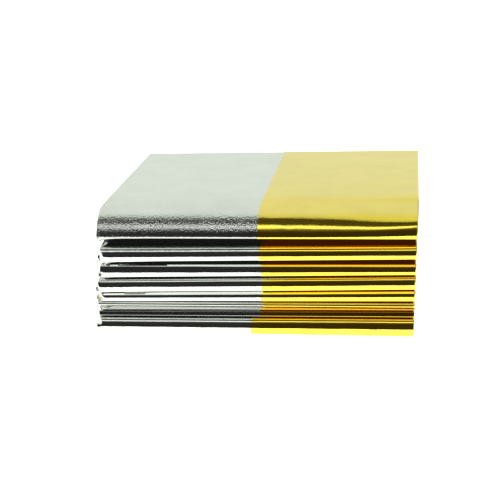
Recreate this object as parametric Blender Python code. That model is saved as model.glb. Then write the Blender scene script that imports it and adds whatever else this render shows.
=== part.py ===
"""Emergency foil blanket, folded into a loose stack.

The blanket is one metallised film, silver on one side and gold on the other. It is folded in
half four times into a strip of sixteen plies, and the strip is laid back and forth on itself.
The solid below is that strip, as thick as its plies and the air between them.

Metres, +Z up. The folds that face the viewer are at -Y, the strip's width runs along X, and the
origin is under the middle of the stack, on the surface it lies on.
"""

import math
from collections import namedtuple

import bmesh
import bpy

MM = 0.001

# The film and the strip that it is folded into
FILM_LENGTH = 2.10
HALVINGS = 4
STRIP_WIDTH = FILM_LENGTH / 2**HALVINGS

# The stack, from nose to nose, and how far its plies have slipped sideways at the foot
STACK_DEPTH = 92.0 * MM
STACK_HEIGHT = 56.1 * MM
LEFT_SPREAD = 6.7 * MM
RIGHT_SPREAD = 1.9 * MM

# The folds at the front, from the top down, in millimetres but for nose, which is a share.
# left, right: height of the fold at the strip's left and right edge
# left_gap, right_gap: free height under the fold there, before the next one
# nose: how far down its own height a fold reaches furthest forward
# roll: how far back the upper side of the fold starts to roll over
# setback: how far the fold stays behind the foremost one
# thickness: of the strip in this fold
# slip: how far the fold's left end stays inside the stack's left side
FrontFold = namedtuple("FrontFold", "left left_gap right right_gap nose roll setback thickness slip")
FRONT_FOLDS = (
    FrontFold(13.9, 2.4, 13.8, 1.4, 0.86, 11.0, 0.0, 1.5, 0.0),
    FrontFold(6.8, 1.5, 6.0, 2.9, 0.78, 5.0, 0.0, 1.5, 0.3),
    FrontFold(5.9, 0.6, 4.4, 0.6, 0.70, 2.2, 1.0, 1.4, 0.7),
    FrontFold(5.7, 0.4, 5.4, 0.9, 0.74, 2.8, 0.0, 1.4, 0.1),
    FrontFold(3.6, 0.4, 4.2, 1.0, 0.55, 2.3, 0.5, 1.2, 0.5),
    FrontFold(2.4, 0.4, 2.4, 0.4, 0.50, 1.0, 0.2, 1.0, 0.7),
    FrontFold(2.4, 0.4, 2.4, 0.4, 0.50, 1.0, 2.4, 1.0, 1.1),
    FrontFold(2.4, 0.4, 2.4, 0.4, 0.50, 1.0, 2.0, 1.0, 0.9),
    FrontFold(6.9, 0.0, 7.6, 0.0, 0.60, 3.1, 0.0, 1.5, 0.0),
)

# The folds at the back, which the photograph doesn't show, in millimetres
BackFold = namedtuple("BackFold", "height setback")
BACK_FOLDS = (
    BackFold(6.5, 0.0),
    BackFold(5.9, 0.8),
    BackFold(6.3, 0.3),
    BackFold(5.7, 1.2),
    BackFold(6.1, 0.5),
    BackFold(5.6, 1.4),
    BackFold(6.0, 0.4),
    BackFold(5.7, 0.9),
)
BACK_THICKNESS = 2.0 * MM
BACK_GAP = 0.4 * MM
FREE_END_SETBACK = 1.2 * MM

# At the left end the plies are crumpled, and the folds swell until they nearly touch
CLOSED_GAP = 0.35 * MM
CRUMPLED_SHARE = 0.03

# Sections across the strip, as shares of its width from the left end. The gold half starts at
# the middle one.
SECTIONS = (0.0, 0.02, 0.06, 0.14, 0.3, 0.5, 0.7, 0.85, 1.0)
GOLD_FROM = 0.5

# Steps along the strip's path
UPPER_STEPS = 5
LOWER_STEPS = 4
BACK_STEPS = 6
RUN_SHARES = (0.1, 0.25, 0.4, 0.6, 0.75, 0.9)

SILVER = (0.84, 0.86, 0.82)
GOLD = (0.92, 0.68, 0.05)

# Layer: the heights of a layer's middle surface at both ends, its thickness and its slip there
Layer = namedtuple("Layer", "front_z back_z thickness slip back_slip")
# Station: one point of the strip's path in a section
Station = namedtuple("Station", "y z thickness slip")


def clear_scene():
    for old in list(bpy.data.objects):
        bpy.data.objects.remove(old)


def blend(a, b, share):
    return a + (b - a) * share


def ease(share):
    return share * share * (3 - 2 * share)


def front_levels(share):
    """The top and bottom of each front fold in one section, where they fill the stack's height."""
    crumpled = math.exp(-share / CRUMPLED_SHARE)
    heights = [blend(fold.left, fold.right, share) for fold in FRONT_FOLDS]
    gaps = [blend(fold.left_gap, fold.right_gap, share) for fold in FRONT_FOLDS]
    unit = STACK_HEIGHT / (sum(heights) + sum(gaps))
    levels = []
    top = STACK_HEIGHT
    for height, gap in zip(heights, gaps):
        bottom = top - height * unit
        swelling = max(gap * unit - CLOSED_GAP, 0.0) * crumpled
        levels.append((top, bottom - swelling))
        top = bottom - gap * unit
    return levels


def back_levels():
    """The top and bottom of each back fold, spread evenly between the two free ends."""
    free_height = STACK_HEIGHT - 2 * BACK_THICKNESS
    folded = sum(fold.height for fold in BACK_FOLDS) * MM + BACK_GAP * (len(BACK_FOLDS) - 1)
    levels = []
    top = STACK_HEIGHT - BACK_THICKNESS - (free_height - folded) / 2
    for fold in BACK_FOLDS:
        levels.append((top, top - fold.height * MM))
        top -= fold.height * MM + BACK_GAP
    return levels


def layers_of(share):
    """Two layers for each front fold, from the top down."""
    back_half = BACK_THICKNESS / 2
    back = [STACK_HEIGHT - back_half]
    for top, bottom in back_levels():
        back += [top - back_half, bottom + back_half]
    back.append(back_half)
    slips = [FRONT_FOLDS[0].slip]
    for fold, following in zip(FRONT_FOLDS, FRONT_FOLDS[1:]):
        slips.append((fold.slip + following.slip) / 2)
    slips.append(FRONT_FOLDS[-1].slip)
    found = []
    for number, (fold, levels) in enumerate(zip(FRONT_FOLDS, front_levels(share))):
        half = fold.thickness * MM / 2
        for side, front in enumerate((levels[0] - half, levels[1] + half)):
            found.append(
                Layer(
                    front,
                    back[2 * number + side],
                    fold.thickness * MM,
                    fold.slip * MM,
                    slips[number + side] * MM,
                )
            )
    return found


def front_nose(fold):
    """Where the fold's middle surface is furthest forward."""
    return -STACK_DEPTH / 2 + (fold.setback + fold.thickness / 2) * MM


def front_arc(fold, upper, lower):
    """Round the front of a fold: a long roll above the nose and a tighter one below it."""
    nose_y = front_nose(fold)
    nose_z = blend(upper.front_z, lower.front_z, fold.nose)
    roll = fold.roll * MM
    under = nose_z - lower.front_z
    over = upper.front_z - nose_z
    arc = []
    for step in range(UPPER_STEPS):
        angle = math.pi / 2 * (1 - step / UPPER_STEPS)
        arc.append((nose_y + roll * (1 - math.cos(angle)), nose_z + over * math.sin(angle)))
    for step in range(LOWER_STEPS + 1):
        angle = math.pi / 2 * step / LOWER_STEPS
        arc.append((nose_y + under * (1 - math.cos(angle)), nose_z - under * math.sin(angle)))
    return [Station(y, z, upper.thickness, upper.slip) for y, z in arc]


def back_arc(fold, upper, lower):
    """Half a turn at the back, from the lower layer of one front fold to the upper of the next."""
    radius = (upper.back_z - lower.back_z) / 2
    middle_z = (upper.back_z + lower.back_z) / 2
    centre_y = STACK_DEPTH / 2 - fold.setback * MM - BACK_THICKNESS / 2 - radius
    arc = []
    for step in range(BACK_STEPS + 1):
        angle = math.pi * (0.5 - step / BACK_STEPS)
        y = centre_y + radius * math.cos(angle)
        z = middle_z + radius * math.sin(angle)
        arc.append(Station(y, z, BACK_THICKNESS, upper.back_slip))
    return arc


def run_between(start, end):
    """The points of a layer between its two folds, where it eases from one height to the other."""
    points = []
    for share in RUN_SHARES:
        eased = ease(share)
        points.append(
            Station(
                blend(start.y, end.y, share),
                blend(start.z, end.z, eased),
                blend(start.thickness, end.thickness, eased),
                blend(start.slip, end.slip, eased),
            )
        )
    return points


def path_of(share):
    """The strip's middle line, from its free end at the top back to the one at the bottom back."""
    layers = layers_of(share)
    end_y = STACK_DEPTH / 2 - FREE_END_SETBACK
    path = [Station(end_y, layers[0].back_z, BACK_THICKNESS, layers[0].back_slip)]
    for number, fold in enumerate(FRONT_FOLDS):
        upper = layers[2 * number]
        lower = layers[2 * number + 1]
        nose = front_arc(fold, upper, lower)
        path += run_between(path[-1], nose[0]) + nose
        if number < len(BACK_FOLDS):
            turn = back_arc(BACK_FOLDS[number], lower, layers[2 * number + 2])
        else:
            turn = [Station(end_y, lower.back_z, BACK_THICKNESS, lower.back_slip)]
        path += run_between(path[-1], turn[0]) + turn
    return path


def across(share, station):
    """The place across the stack of a point of the strip, which leans and spreads downwards."""
    lowered = 1 - station.z / STACK_HEIGHT
    widest = STRIP_WIDTH + LEFT_SPREAD
    left = -widest / 2 + LEFT_SPREAD * (1 - lowered) + station.slip
    right = widest / 2 - RIGHT_SPREAD * lowered
    return blend(left, right, share)


def make_material(name, colour):
    material = bpy.data.materials.new(name)
    material.use_nodes = True
    surface = material.node_tree.nodes["Principled BSDF"]
    surface.inputs["Base Color"].default_value = (*colour, 1.0)
    surface.inputs["Metallic"].default_value = 1.0
    surface.inputs["Roughness"].default_value = 0.12
    return material


def build_folded_strip():
    """The strip as one sheet of faces through its middle, given its thickness by Solidify."""
    paths = [path_of(share) for share in SECTIONS]
    thickest = max(station.thickness for station in paths[0])
    mesh = bmesh.new()
    rows = []
    for share, path in zip(SECTIONS, paths):
        rows.append([mesh.verts.new((across(share, p), p.y, p.z)) for p in path])
    for number, (left, right) in enumerate(zip(rows, rows[1:])):
        for a, b, c, d in zip(left, left[1:], right[1:], right):
            face = mesh.faces.new((a, b, c, d))
            face.material_index = int(SECTIONS[number] >= GOLD_FROM)
    bmesh.ops.recalc_face_normals(mesh, faces=mesh.faces)
    data = bpy.data.meshes.new("foil_blanket")
    mesh.to_mesh(data)
    mesh.free()

    strip = bpy.data.objects.new("foil_blanket", data)
    bpy.context.scene.collection.objects.link(strip)
    data.materials.append(make_material("silver_foil", SILVER))
    data.materials.append(make_material("gold_foil", GOLD))

    weights = strip.vertex_groups.new(name="thickness")
    for row, path in enumerate(paths):
        for column, station in enumerate(path):
            weights.add([row * len(path) + column], station.thickness / thickest, "REPLACE")
    plies = strip.modifiers.new("plies", "SOLIDIFY")
    plies.thickness = thickest
    plies.offset = 0.0
    plies.use_even_offset = True
    plies.vertex_group = weights.name
    return strip


clear_scene()
build_folded_strip()
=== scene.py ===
"""An emergency foil blanket, folded: one metallised film, silver on one side and gold on the other.

The film is pleated into a strip of sixteen plies, and the strip lies back and forth in a stack.
Metres, +Z up, with the folds that face the viewer at -Y.
"""

import math
from collections import namedtuple

import bpy
import numpy as np
from mathutils import Matrix, Vector, noise


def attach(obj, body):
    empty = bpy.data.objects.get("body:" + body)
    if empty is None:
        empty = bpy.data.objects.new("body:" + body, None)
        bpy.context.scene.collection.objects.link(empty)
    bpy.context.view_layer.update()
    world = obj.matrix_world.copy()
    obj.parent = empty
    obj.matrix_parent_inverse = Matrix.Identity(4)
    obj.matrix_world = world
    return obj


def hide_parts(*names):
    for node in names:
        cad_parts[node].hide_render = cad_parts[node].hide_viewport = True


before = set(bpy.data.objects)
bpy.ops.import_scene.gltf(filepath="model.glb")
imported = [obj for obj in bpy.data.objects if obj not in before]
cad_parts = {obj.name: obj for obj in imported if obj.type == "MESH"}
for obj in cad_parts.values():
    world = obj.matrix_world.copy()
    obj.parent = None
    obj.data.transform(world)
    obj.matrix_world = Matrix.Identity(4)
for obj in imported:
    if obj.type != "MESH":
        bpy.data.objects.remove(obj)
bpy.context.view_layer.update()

# The viewer stands a little to the right of the blanket and looks down on its front, with the
# camera turned slightly.
VIEWER = Vector((0.0667, -0.4243, 0.1799))
TURNED_LEFT, LOOKING_DOWN, ROLLED = map(math.radians, (9.85, 20.17, -3.14))

level_ahead = Vector((-math.sin(TURNED_LEFT), math.cos(TURNED_LEFT), 0))
level_right = Vector((math.cos(TURNED_LEFT), math.sin(TURNED_LEFT), 0))
straight_up = Vector((0, 0, 1))
ahead = level_ahead * math.cos(LOOKING_DOWN) - straight_up * math.sin(LOOKING_DOWN)
upright = level_ahead * math.sin(LOOKING_DOWN) + straight_up * math.cos(LOOKING_DOWN)
right = level_right * math.cos(ROLLED) + upright * math.sin(ROLLED)
up = upright * math.cos(ROLLED) - level_right * math.sin(ROLLED)

camera = bpy.data.objects.new("camera", bpy.data.cameras.new("camera"))
camera.data.lens = 72
camera.data.sensor_width = 36
camera.data.clip_start = 0.01
camera.matrix_world = Matrix.Translation(VIEWER) @ Matrix((right, up, -ahead)).transposed().to_4x4()
bpy.context.scene.collection.objects.link(camera)
bpy.context.scene.camera = camera
bpy.context.scene.view_settings.view_transform = "Standard"


# The strip is laid back and forth on itself in eighteen layers, so it makes nine rounded folds at
# the front and eight at the back. Its sixteen plies stay loose, with air between them, and at the
# left end they have slipped apart and their corners are crumpled.
MM = 0.001
PLIES = 16
STRIP_WIDTH = 2.10 / PLIES
STACK_DEPTH = 92.0 * MM
STACK_HEIGHT = 56.1 * MM
LEFT_SPREAD = 6.7 * MM
RIGHT_SPREAD = 1.9 * MM

# Front folds from the top down, in millimetres but for the six shares at the end.
# left, left_gap, right, right_gap: the fold's height and the free height under it at each end
# roll, right_roll: how far back the upper side starts to roll over at each end
# setback: how far the fold stays behind the foremost one
# thickness: of all the plies together in this fold
# slip: how far its left end stays inside the stack's left side
# edge: how far right of the middle the gold half's free edge lies
# nose: how far down its own height a fold reaches furthest forward
# flat, right_flat: how long the roll stays level behind at each end
# steep, right_steep: how long it stays upright in front
# tuck: how far the underside runs back, by its height
FrontFold = namedtuple(
    "FrontFold",
    "left left_gap right right_gap roll right_roll setback thickness slip edge nose "
    "flat right_flat steep right_steep tuck",
)
FRONT_FOLDS = (
    FrontFold(12.3, 3.9, 12.5, 2.7, 14.8, 15.5, 0.0, 1.0, 0.0, 1.8, 0.985, 0.54, 0.03, 0.22, 0.72, 1.7),
    FrontFold(6.4, 2.1, 5.8, 3.1, 5.7, 5.7, 0.0, 0.9, 0.3, 2.4, 0.94, 0.23, 0.23, 0.90, 0.90, 0.4),
    FrontFold(5.3, 1.0, 4.1, 0.9, 2.0, 2.0, 1.0, 0.8, 0.7, 3.4, 0.92, 0.49, 0.49, 0.45, 0.45, 0.8),
    FrontFold(5.2, 0.9, 5.0, 1.3, 2.9, 2.9, 0.0, 0.8, 0.1, 4.2, 0.94, 0.73, 0.73, 0.41, 0.41, 0.4),
    FrontFold(3.4, 0.4, 4.1, 1.1, 2.6, 2.6, 0.5, 0.8, 0.5, 3.7, 0.94, 0.65, 0.65, 0.67, 0.67, 0.5),
    FrontFold(1.9, 0.5, 2.1, 0.4, 1.1, 1.1, 0.2, 0.7, 0.7, 5.0, 0.55, 0.63, 0.63, 0.10, 0.10, 1.9),
    FrontFold(2.5, 0.4, 1.9, 0.4, 1.7, 1.7, 2.6, 0.7, 1.1, 3.6, 0.52, 0.19, 0.19, 0.10, 0.10, 1.9),
    FrontFold(1.8, 0.7, 2.2, 0.7, 0.6, 0.6, 2.2, 0.7, 0.9, 3.0, 0.84, 0.17, 0.17, 0.10, 0.10, 2.2),
    FrontFold(6.6, 0.0, 8.0, 0.0, 3.1, 3.1, 0.0, 0.9, 0.0, 0.2, 0.73, 0.41, 0.41, 0.59, 0.59, 1.5),
)
BackFold = namedtuple("BackFold", "height setback")
BACK_FOLDS = (
    BackFold(6.5, 0.0),
    BackFold(5.9, 0.8),
    BackFold(6.3, 0.3),
    BackFold(5.7, 1.2),
    BackFold(6.1, 0.5),
    BackFold(5.6, 1.4),
    BackFold(6.0, 0.4),
    BackFold(5.7, 0.9),
)
BACK_THICKNESS = 2.0 * MM
BACK_GAP = 0.4 * MM
FREE_END_SETBACK = 1.2 * MM
# At the left end the folds swell, in front until they nearly touch and behind by a little.
# CRUMPLED_SHARE is how soon that fades away, as a share of the strip's width.
CLOSED_GAP = 0.35 * MM
BACK_SWELLING = 0.9 * MM
CRUMPLED_SHARE = 0.03
# Under the top fold's roll the left end stands plumb, this share of the spread further out
PLUMB = 0.22
# A fold keeps the form of its left end over most of the width: the higher, the further
RIGHT_BIAS = 6
# Steps round the folds and along the layers, and how far the steps along a layer are crowded
# towards its two ends, from 0 to 1
ROLL_STEPS = 14
UNDER_STEPS = 9
BACK_STEPS = 14
RUN_STEPS = 9
CROWDING = 0.3

Layer = namedtuple("Layer", "front_z nose_z back_z thickness slip back_slip edge back_edge")
# Point: a place on the strip's outer face in one section across it
Point = namedtuple("Point", "y z thickness slip edge")


def blend(a, b, share):
    return a + (b - a) * share


def ease(share):
    return share * share * (3 - 2 * share)


def front_levels(share):
    """The top, nose and bottom of each front fold in one section of the stack."""
    crumpled = math.exp(-share / CRUMPLED_SHARE)
    heights = [blend(fold.left, fold.right, share) for fold in FRONT_FOLDS]
    gaps = [blend(fold.left_gap, fold.right_gap, share) for fold in FRONT_FOLDS]
    unit = STACK_HEIGHT / (sum(heights) + sum(gaps))
    levels = []
    top = STACK_HEIGHT
    for fold, height, gap in zip(FRONT_FOLDS, heights, gaps):
        bottom = top - height * unit
        swelling = max(gap * unit - CLOSED_GAP, 0.0) * crumpled
        levels.append((top, blend(top, bottom, fold.nose), bottom - swelling))
        top = bottom - gap * unit
    return levels


def back_middles():
    """The middle height of each layer at the back, from the upper free end to the lower one."""
    half = BACK_THICKNESS / 2
    free_height = STACK_HEIGHT - 2 * BACK_THICKNESS
    folded = sum(fold.height for fold in BACK_FOLDS) * MM + BACK_GAP * (len(BACK_FOLDS) - 1)
    middles = [STACK_HEIGHT - half]
    top = STACK_HEIGHT - BACK_THICKNESS - (free_height - folded) / 2
    for fold in BACK_FOLDS:
        middles += [top - half, top - fold.height * MM + half]
        top -= fold.height * MM + BACK_GAP
    return middles + [half]


def between_folds(values):
    """A value for each back fold and free end, halfway between those of the folds beside it."""
    return [values[0]] + [(a + b) / 2 for a, b in zip(values, values[1:])] + [values[-1]]


def layers_of(share):
    """Where the outer face of each layer lies in front and behind, from the top down."""
    back = back_middles()
    swelling = BACK_SWELLING * math.exp(-share / CRUMPLED_SHARE)
    for level in range(1, len(back) - 1):
        back[level] += swelling * (0.5 - level % 2)
    slips = between_folds([fold.slip for fold in FRONT_FOLDS])
    edges = between_folds([fold.edge for fold in FRONT_FOLDS])
    found = []
    for number, (fold, levels) in enumerate(zip(FRONT_FOLDS, front_levels(share))):
        for side, front in enumerate(levels[::2]):
            found.append(
                Layer(
                    front,
                    levels[1],
                    back[2 * number + side] + (0.5 - side) * BACK_THICKNESS,
                    fold.thickness * MM,
                    fold.slip * MM,
                    slips[number + side] * MM,
                    fold.edge * MM,
                    edges[number + side] * MM,
                )
            )
    return found


def front_turn(share, fold, upper, lower):
    """Round the front of a fold: a long roll above the nose and a tighter one below it."""
    nose_y = -STACK_DEPTH / 2 + fold.setback * MM
    nose_z = upper.nose_z
    over = upper.front_z - nose_z
    under = nose_z - lower.front_z
    near_right = share**RIGHT_BIAS
    roll = blend(fold.roll, fold.right_roll, near_right) * MM
    flat = blend(fold.flat, fold.right_flat, near_right)
    steep = blend(fold.steep, fold.right_steep, near_right)
    turn = []
    for step in range(ROLL_STEPS):
        t = step / ROLL_STEPS
        start, level, plumb = (1 - t) ** 3, 3 * t * (1 - t) ** 2, 3 * t * t * (1 - t)
        y = nose_y + roll * (start + level * (1 - flat))
        z = nose_z + over * (start + level + plumb * steep)
        turn.append((y, z))
    for step in range(UNDER_STEPS + 1):
        angle = math.pi / 2 * step / UNDER_STEPS
        y = nose_y + under * fold.tuck * (1 - math.cos(angle))
        turn.append((y, nose_z - under * math.sin(angle)))
    return [Point(y, z, upper.thickness, upper.slip, upper.edge) for y, z in turn]


def back_turn(fold, upper, lower):
    """Round the inside of a fold at the back, where the strip's other face is outside."""
    radius = (upper.back_z - lower.back_z) / 2
    middle_z = (upper.back_z + lower.back_z) / 2
    centre_y = STACK_DEPTH / 2 - fold.setback * MM - BACK_THICKNESS - radius
    turn = []
    for step in range(BACK_STEPS + 1):
        angle = math.pi * (0.5 - step / BACK_STEPS)
        y = centre_y + radius * math.cos(angle)
        z = middle_z + radius * math.sin(angle)
        turn.append(Point(y, z, BACK_THICKNESS, upper.back_slip, upper.back_edge))
    return turn


def run_between(start, end):
    """A layer between its two folds, where it eases from one height to the other."""
    run = []
    for step in range(1, RUN_STEPS):
        even = step / RUN_STEPS
        share = blend(even, ease(even), CROWDING)
        eased = ease(share)
        rest = [blend(a, b, eased) for a, b in zip(start[1:], end[1:])]
        run.append(Point(blend(start.y, end.y, share), *rest))
    return run


def outer_line(share):
    """The strip's outer face in one section, from its free end at the top to the one at the foot."""
    layers = layers_of(share)
    end_y = STACK_DEPTH / 2 - FREE_END_SETBACK

    def free_end(layer):
        return Point(end_y, layer.back_z, BACK_THICKNESS, layer.back_slip, layer.back_edge)

    line = [free_end(layers[0])]
    for number, fold in enumerate(FRONT_FOLDS):
        upper, lower = layers[2 * number : 2 * number + 2]
        nose = front_turn(share, fold, upper, lower)
        line += run_between(line[-1], nose[0]) + nose
        if number < len(BACK_FOLDS):
            turn = back_turn(BACK_FOLDS[number], lower, layers[2 * number + 2])
        else:
            turn = [free_end(lower)]
        line += run_between(line[-1], turn[0]) + turn
    return np.array(line)


# The left end's creases: how far apart in millimetres, at what angle in degrees to the strip's
# length, and which share of the deepest dent
Crease = namedtuple("Crease", "apart angle share")
CREASES = (
    Crease(5.6, 17, 0.42),
    Crease(4.1, 128, 0.34),
    Crease(2.9, 66, 0.24),
)
# The dents lie at the left end, behind the front and below the top fold, where they fade to the
# least share over a small height
DEEPEST_DENT = 1.6 * MM
DENTED_WIDTH = 5.0 * MM
DENTED_DEPTH = 12.0 * MM
DENTED_BELOW = 44.0 * MM
DENTS_FADE_OVER = 3.0 * MM
LEAST_DENTED = 0.05
# How far across they reach wanders along the strip, in shares of their width
REACH_APART = 6.0 * MM
REACH_SEED = 5.0
MEAN_REACH = 0.45
REACH_SWING = 1.5
LEAST_REACH = 0.05
MOST_REACH = 1.2
# The top fold's roll starts this far behind the front
ROLL_FROM = 14.0 * MM
# Film this far behind the noses of the folds begins to lie deep, and is deep a step further on
OPEN_DEPTH = 0.8 * MM
DEEP_STEP = 2.2 * MM
# The plies' ends stand in and out by this much, over this width from each end of the strip. The
# seeds make each ply and each end differ.
RAGGED = 0.4 * MM
RAGGED_WIDTH = 10.0 * MM
RAGGED_APART = 30.0 * MM
PLY_SEED = 1.7
END_SEED = 3.0


def crumple(along, from_left):
    """Flat facets between sharp creases, as shares of the deepest dent."""
    depth = 0.0
    for crease in CREASES:
        angle = math.radians(crease.angle)
        place = (along * math.cos(angle) + from_left * math.sin(angle)) / (crease.apart * MM)
        depth = depth + crease.share * np.abs(2 * (place % 1.0) - 1)
    return depth


def wander(along, apart, seed, other_seed=0.0):
    """A smooth random swing to either side along the strip, less than 1 each way."""
    return np.array([noise.noise(Vector((a / apart, seed, other_seed))) for a in along])


def nearness(y, depth):
    """1 from the front to half this depth behind it, fading to 0 at the full depth."""
    return np.clip((depth - STACK_DEPTH / 2 - y) / depth * 2, 0.0, 1.0)


def ply_points(shares, number, faceted=False):
    """A grid of points on one ply: a row for each section, a column for each point of the line.

    number counts the plies from the strip's outer face, 0 to 16. A faceted ply has its left end
    crumpled, and the others keep clear of its dents. Each point has its x, y and z, its place
    along the strip, how deep it lies between the folds, from 0 to 1, and how far right of the
    middle the gold half's edge is there.
    """
    rows = []
    for share in shares:
        y, z, thickness, slip, edge = outer_line(share).T
        ahead_y, ahead_z = np.gradient(y), np.gradient(z)
        length = np.hypot(ahead_y, ahead_z)
        out_y, out_z = ahead_z / length, -ahead_y / length
        along = np.concatenate(([0.0], np.cumsum(np.hypot(np.diff(y), np.diff(z)))))
        lowered = np.maximum(1 - z / STACK_HEIGHT, PLUMB * ease(nearness(y, ROLL_FROM)))
        widest = STRIP_WIDTH + LEFT_SPREAD
        left_x = -widest / 2 + LEFT_SPREAD * (1 - lowered) + slip
        x = blend(left_x, widest / 2 - RIGHT_SPREAD * (1 - z / STACK_HEIGHT), share)
        from_left = share * STRIP_WIDTH
        reach = MEAN_REACH + wander(along, REACH_APART, REACH_SEED) * REACH_SWING
        width = DENTED_WIDTH * np.clip(reach, LEAST_REACH, MOST_REACH)
        below_top = np.clip((DENTED_BELOW - z) / DENTS_FADE_OVER, LEAST_DENTED, 1.0)
        dented = np.clip(1 - from_left / width, 0.0, 1.0) * below_top
        dented = dented * nearness(y, DENTED_DEPTH)
        dents = crumple(along, from_left) if faceted else 1.0
        off = -thickness * number / PLIES - dents * DEEPEST_DENT * dented
        for side, away in ((1, from_left), (-1, STRIP_WIDTH - from_left)):
            ragged = max(0.0, 1 - away / RAGGED_WIDTH) ** 2
            if ragged > 0:
                swing = wander(along, RAGGED_APART, number * PLY_SEED, side * END_SEED)
                x = x + side * swing * RAGGED * ragged
        behind_nose = STACK_DEPTH / 2 - np.abs(y)
        deep = ease(np.clip((behind_nose - OPEN_DEPTH) / DEEP_STEP, 0.0, 1.0))
        # The top layer and its roll lie open
        deep[: RUN_STEPS + ROLL_STEPS] = 0.0
        rows.append(np.stack((x, y + out_y * off, z + out_z * off, along, deep, edge), axis=1))
    return np.array(rows)


class Value:
    """A socket whose number or colour varies over the film, for sums written out in Python."""

    def __init__(self, nodes, socket):
        self.nodes = nodes
        self.socket = socket

    def maths(self, operation, *values):
        return self.nodes.add("ShaderNodeMath", {"operation": operation}, *values)

    def __add__(self, other):
        return self.maths("ADD", self, other)

    def __mul__(self, other):
        return self.maths("MULTIPLY", self, other)

    def __truediv__(self, other):
        return self.maths("DIVIDE", self, other)

    def __rtruediv__(self, other):
        return self.maths("DIVIDE", other, self)

    __radd__ = __add__
    __rmul__ = __mul__


class Nodes:
    """A node tree that is built up from the values of its sockets."""

    def __init__(self, tree):
        self.tree = tree

    def add(self, kind, settings=None, *values, output=0, **named):
        """One node: its settings first, then its sockets by place or, spaces as _, by name."""
        node = self.tree.nodes.new(kind)
        for setting, value in (settings or {}).items():
            if setting == "stops":
                self.stops(node.color_ramp, value)
            else:
                setattr(node, setting, value)
        by_name = {socket.name.replace(" ", "_"): socket for socket in reversed(node.inputs)}
        pairs = list(zip(node.inputs, values)) + [(by_name[name], v) for name, v in named.items()]
        for socket, value in pairs:
            self.feed(socket, value)
        return Value(self, node.outputs[output])

    def feed(self, socket, value):
        if isinstance(value, Value):
            self.tree.links.new(value.socket, socket)
        elif value is not None:
            socket.default_value = value

    def colour_mix(self, factor, first, second, blending="MIX"):
        """Two colours, mixed or multiplied."""
        node = self.tree.nodes.new("ShaderNodeMix")
        node.data_type = "RGBA"
        node.blend_type = blending
        self.feed(node.inputs["Factor"], factor)
        for socket, value in zip((node.inputs[6], node.inputs[7]), (first, second)):
            self.feed(socket, (*value, 1.0) if isinstance(value, tuple) else value)
        return Value(self, node.outputs[2])

    def stops(self, ramp, stops):
        while len(ramp.elements) > 1:
            ramp.elements.remove(ramp.elements[-1])
        for number, (position, colour) in enumerate(stops):
            stop = ramp.elements[0] if number == 0 else ramp.elements.new(position)
            stop.position = position
            stop.color = (*colour, 1.0)


# Where the finish changes over the outside, from one place to another: the height above the
# floor, and the place behind or, if negative, in front of the stack's middle
WRINKLED_ABOVE = (36.0 * MM, 44.0 * MM)
WRINKLED_BEFORE = (-36.0 * MM, -30.0 * MM)
# Below this height the wrinkled roll gets painted shade
SHADED_BELOW = (49.0 * MM, 50.5 * MM)
# Above this height and in front, the top fold's shoulder gets a painted sheen
PAINTED_SHEEN_ABOVE = (50.5 * MM, 53.5 * MM)
PAINTED_SHEEN_BEFORE = (-35.0 * MM, -31.0 * MM)
LEAST_WRINKLED = 0.06
DEEPEST_WRINKLE = 0.1 * MM
CREASE_RELIEF = 0.05
RIPPLE_RELIEF = 0.8
WRINKLE_SHADE = 0.45
WRINKLE_DULLING = 0.06
CREASE_DULLING = 0.04


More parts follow.
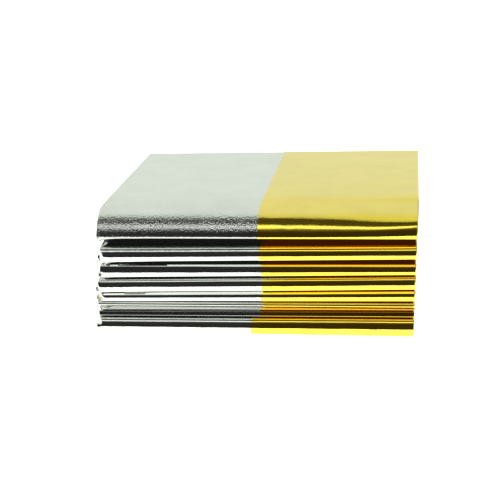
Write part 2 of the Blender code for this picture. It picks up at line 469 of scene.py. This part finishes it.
def film_finish(name, colour, painted_sheen_colour, painted_shade_colour, painted_glow, coat, roughness, hatching):
    """Bright metal under clear plastic, with hair-fine wrinkles round the folds and along them.

    The colour for the top fold's shoulder is a painted sheen, paler as if it caught more light.
    The colour for film that faces only other film between the folds is painted shade, and the
    glow is painted light: a faint emission over all the film that stands in for the light getting
    through to it there.
    """
    material = bpy.data.materials.new(name)
    material.use_nodes = True
    nodes = Nodes(material.node_tree)
    surface = material.node_tree.nodes["Principled BSDF"]
    surface.inputs["Metallic"].default_value = 1.0
    surface.inputs["Coat Weight"].default_value = coat
    surface.inputs["Coat Roughness"].default_value = 0.03
    surface.inputs["Coat IOR"].default_value = 1.6

    film = nodes.add("ShaderNodeUVMap", {"uv_map": "film"})
    place = nodes.add("ShaderNodeTexCoord", output="Object")
    height = nodes.add("ShaderNodeSeparateXYZ", None, place, output="Z")
    behind = Value(nodes, height.socket.node.outputs["Y"])

    def wrinkles(per_metre_across, per_metre_along, detail):
        scaled = nodes.add(
            "ShaderNodeVectorMath",
            {"operation": "MULTIPLY"},
            film,
            (per_metre_across, per_metre_along, 1.0),
        )
        return nodes.add(
            "ShaderNodeTexNoise",
            {"noise_dimensions": "2D"},
            Vector=scaled,
            Scale=1.0,
            Detail=detail,
            Roughness=0.6,
        )

    hatch = wrinkles(per_metre_across=1900.0, per_metre_along=1100.0, detail=1.0)
    creases = wrinkles(per_metre_across=14.0, per_metre_along=900.0, detail=4.0)
    ripples = wrinkles(per_metre_across=60.0, per_metre_along=90.0, detail=2.0)

    def fade(value, places, first, last):
        settings = {"interpolation_type": "SMOOTHSTEP"}
        return nodes.add("ShaderNodeMapRange", settings, value, *places, first, last)

    upper_folds = fade(height, WRINKLED_ABOVE, LEAST_WRINKLED, 1.0)
    upper_folds = upper_folds * fade(behind, WRINKLED_BEFORE, 1.0, 0.0)
    relief = hatch * upper_folds * hatching + creases * CREASE_RELIEF + ripples * RIPPLE_RELIEF
    bump = nodes.add(
        "ShaderNodeBump", None, Strength=1.0, Distance=DEEPEST_WRINKLE, Height=relief
    )
    nodes.feed(surface.inputs["Normal"], bump)

    between = nodes.add("ShaderNodeUVMap", {"uv_map": "between_folds"})
    deep = nodes.add("ShaderNodeSeparateXYZ", None, between, output="X")
    # Painted sheen: the top fold's shoulder is painted paler, as if it caught more light
    painted_sheen = fade(height, PAINTED_SHEEN_ABOVE, 0.0, 1.0) * fade(behind, PAINTED_SHEEN_BEFORE, 1.0, 0.0)
    # Painted shade: film deep between the folds is darkened, where only other film surrounds it
    shade = nodes.colour_mix(deep, nodes.colour_mix(painted_sheen, colour, painted_sheen_colour), painted_shade_colour)
    # Painted shade: below the shoulder the wrinkled roll is darkened towards black, as if its wrinkles
    # shaded each other
    between_wrinkles = upper_folds * fade(height, SHADED_BELOW, 1.0, 0.0)
    black = (0.0, 0.0, 0.0)
    shade = nodes.colour_mix(between_wrinkles * (WRINKLE_SHADE * hatching), shade, black)
    tone = nodes.add(
        "ShaderNodeValToRGB",
        {"stops": ((0.3, (0.93, 0.93, 0.93)), (0.7, (1.0, 1.0, 1.0)))},
        ripples,
    )
    nodes.feed(surface.inputs["Base Color"], nodes.colour_mix(1.0, shade, tone, "MULTIPLY"))
    # Painted light: a faint emission over all the film stands in for the light that reaches the
    # crevices
    surface.inputs["Emission Color"].default_value = (*painted_glow, 1.0)
    surface.inputs["Emission Strength"].default_value = 1.0
    dulled = upper_folds * WRINKLE_DULLING * hatching
    nodes.feed(surface.inputs["Roughness"], creases * CREASE_DULLING + dulled + roughness)
    return material


silver_side = film_finish(
    "silver_side",
    colour=(0.78, 0.81, 0.75),
    painted_sheen_colour=(0.85, 0.87, 0.83),
    painted_shade_colour=(0.47, 0.49, 0.46),
    painted_glow=(0.004, 0.004, 0.004),
    coat=1.0,
    roughness=0.05,
    hatching=0.8,
)
gold_side = film_finish(
    "gold_side",
    colour=(0.97, 0.765, 0.05),
    painted_sheen_colour=(1.0, 0.82, 0.22),
    painted_shade_colour=(0.60, 0.36, 0.005),
    painted_glow=(0.018, 0.005, 0.0),
    coat=0.72,
    roughness=0.03,
    hatching=0.1,
)


# Which columns of a ply's points hold its place across, its place along the strip, how deep it
# lies between the folds, and the gold half's edge
ACROSS, ALONG, DEEP, EDGE = 0, 3, 4, 5


def film_piece(name, rows, gold_rows):
    """Film as one mesh through rows of points. gold_rows says which rows open a gold strip."""
    count, columns = rows.shape[:2]
    faces, finishes, smooth = [], [], []
    for row in range(count - 1):
        start = row * columns
        from_left = max(rows[row : row + 2, 0, ACROSS]) + STRIP_WIDTH / 2
        for column in range(columns - 1):
            a = start + column
            faces.append((a, a + 1, a + columns + 1, a + columns))
            finishes.append(int(gold_rows[row]))
            smooth.append(bool(from_left > DENTED_WIDTH))
    mesh = bpy.data.meshes.new(name)
    points = rows.reshape(-1, rows.shape[2])
    mesh.from_pydata(points[:, :3].tolist(), [], faces)
    film = mesh.uv_layers.new(name="film")
    corner_points = np.zeros(len(mesh.loops), int)
    mesh.loops.foreach_get("vertex_index", corner_points)
    film.data.foreach_set("uv", points[corner_points][:, (ACROSS, ALONG)].ravel())
    between = mesh.uv_layers.new(name="between_folds")
    between.data.foreach_set("uv", points[corner_points][:, (DEEP, DEEP)].ravel())
    mesh.materials.append(silver_side)
    mesh.materials.append(gold_side)
    mesh.polygons.foreach_set("material_index", finishes)
    mesh.polygons.foreach_set("use_smooth", smooth)
    mesh.update()
    piece = bpy.data.objects.new(name, mesh)
    bpy.context.scene.collection.objects.link(piece)
    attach(piece, "root")
    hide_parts("foil_blanket")
    return piece


# The outermost full ply has its silver side out. It shows on the strip's left half, round all the
# front folds, and bends round the left end into the next ply.
CRUMPLED_SHARES = np.linspace(0.0, 0.05, 16)
SMOOTH_SHARES = np.linspace(0.06, 1.0, 26)
outer_shares = np.concatenate((CRUMPLED_SHARES, SMOOTH_SHARES))
outer = np.concatenate((ply_points([0.0], 2), ply_points(outer_shares, 1, faceted=True)))
film_piece(
    "silver_outer_ply", outer, [False] * len(outer)
)


# The film's first half ply covers the right half of that one, gold side out, from its free edge
# near the middle to the bend round the right end.
MIDDLE = 0.5
HALF_PLY_SECTIONS = 24
# How far out of the middle the last section stands before the bend, as a share of the way
BEFORE_BEND = 0.992


def half_ply(end, number):
    """A ply from its free edge near the middle to one end of the strip."""
    last = blend(MIDDLE, end, BEFORE_BEND)
    shares = np.append(np.linspace(MIDDLE, last, HALF_PLY_SECTIONS), end)
    rows = ply_points(shares, number)
    for row, share in zip(rows, shares):
        row[:, ACROSS] += rows[0, :, EDGE] * (1 - abs(share - MIDDLE) / MIDDLE)
    return rows


outer_half = np.concatenate((half_ply(1.0, 0), ply_points([1.0], 1)))
film_piece(
    "gold_outer_half_ply",
    outer_half,
    [True] * len(outer_half),
)


# Thirteen plies more lie zigzag between the strip's two faces. Their bends are silver at the left
# end and gold at the right end.
INNER_PLIES = 13
INNER_SHARES = (0.0, 0.012, 0.03, 0.05, 0.25, 0.5, 0.75, 0.98, 0.993, 1.0)
zigzag, zigzag_shares = [], []
for ply in range(2, 2 + INNER_PLIES):
    shares = INNER_SHARES if ply % 2 == 0 else INNER_SHARES[::-1]
    zigzag.append(ply_points(shares, ply))
    zigzag_shares += shares
film_piece(
    "inner_plies",
    np.concatenate(zigzag),
    [a + b > 1 for a, b in zip(zigzag_shares, zigzag_shares[1:])],
)


# On the strip's other face, which is outside in the folds at the back, the last full ply has its
# gold side out and the last half ply covers its left half with silver.
inside = np.concatenate((ply_points(INNER_SHARES, 15), ply_points([1.0], 14)))
film_piece(
    "gold_inside_ply", inside, [True] * len(inside)
)
inside_half = np.concatenate((half_ply(0.0, PLIES), ply_points([0.0], 15)))
film_piece(
    "silver_inside_half_ply",
    inside_half,
    [False] * len(inside_half),
)


# The floor is plain and white, and the studio round it is dark in front, with a long soft light
# above the viewer, a bright ceiling and back wall, a white board at the left and a grey one at
# the right.
floor_mesh = bpy.data.meshes.new("floor")
FLOOR_HALF = 6.0
floor_mesh.from_pydata(
    [(x * FLOOR_HALF, y * FLOOR_HALF, 0.0) for x, y in ((-1, -1), (1, -1), (1, 1), (-1, 1))],
    [],
    [(0, 1, 2, 3)],
)
floor = bpy.data.objects.new("floor", floor_mesh)
bpy.context.scene.collection.objects.link(floor)
floor_paint = bpy.data.materials.new("floor_paint")
floor_paint.use_nodes = True
paint = floor_paint.node_tree.nodes["Principled BSDF"]
paint.inputs["Base Color"].default_value = (0.25, 0.25, 0.25, 1.0)
paint.inputs["Roughness"].default_value = 0.7
paint.inputs["Emission Color"].default_value = (1.0, 1.0, 0.98, 1.0)
paint.inputs["Emission Strength"].default_value = 1.6
floor_mesh.materials.append(floor_paint)

studio = bpy.data.worlds.new("studio")
bpy.context.scene.world = studio
studio.use_nodes = True
sky = Nodes(studio.node_tree)
direction = sky.add("ShaderNodeTexCoord", output="Generated")
apart = sky.add("ShaderNodeSeparateXYZ", None, direction, output="Y")
height = Value(sky, apart.socket.node.outputs["Z"])
turned = sky.add("ShaderNodeMath", {"operation": "ARCTAN2"}, height, apart * -1.0) / math.pi
# The light from in front of the blanket at 0, from straight above at 0.5, from behind it at 1
around = sky.add(
    "ShaderNodeValToRGB",
    {
        "stops": (
            (0.0, (0.015, 0.015, 0.015)),
            (0.20, (0.02, 0.02, 0.02)),
            (0.24, (0.08, 0.08, 0.08)),
            (0.262, (0.3, 0.3, 0.3)),
            (0.272, (1.15, 1.15, 1.15)),
            (0.303, (1.15, 1.15, 1.15)),
            (0.315, (0.4, 0.4, 0.4)),
            (0.325, (0.05, 0.05, 0.05)),
            (0.395, (0.04, 0.04, 0.035)),
            (0.415, (0.50, 0.54, 0.48)),
            (0.445, (0.58, 0.62, 0.56)),
            (0.70, (0.60, 0.64, 0.58)),
            (1.0, (0.62, 0.66, 0.60)),
        )
    },
    turned,
)
sideways = Value(sky, apart.socket.node.outputs["X"])
BOARD_EDGE = (0.52, 0.58)
WHITE_BOARD = (0.95, 0.98, 0.92)
GREY_BOARD = (0.40, 0.43, 0.39)
lit = around
for side, board_colour in ((-1.0, WHITE_BOARD), (1.0, GREY_BOARD)):
    smooth = {"interpolation_type": "SMOOTHSTEP"}
    board = sky.add("ShaderNodeMapRange", smooth, sideways * side, *BOARD_EDGE, 0.0, 1.0)
    lit = sky.colour_mix(board, lit, board_colour)
seen_directly = sky.add("ShaderNodeLightPath", output="Is Camera Ray")
backdrop = sky.colour_mix(seen_directly, lit, (1.0, 1.0, 1.0))
background = studio.node_tree.nodes["Background"]
sky.feed(background.inputs["Color"], backdrop)
background.inputs["Strength"].default_value = 1.3

sun = bpy.data.objects.new("overhead_light", bpy.data.lights.new("overhead_light", "SUN"))
sun.data.energy = 2.0
sun.data.angle = math.radians(60)
sun.rotation_euler = (math.radians(-10), 0, 0)
sun.visible_glossy = False
bpy.context.scene.collection.objects.link(sun)
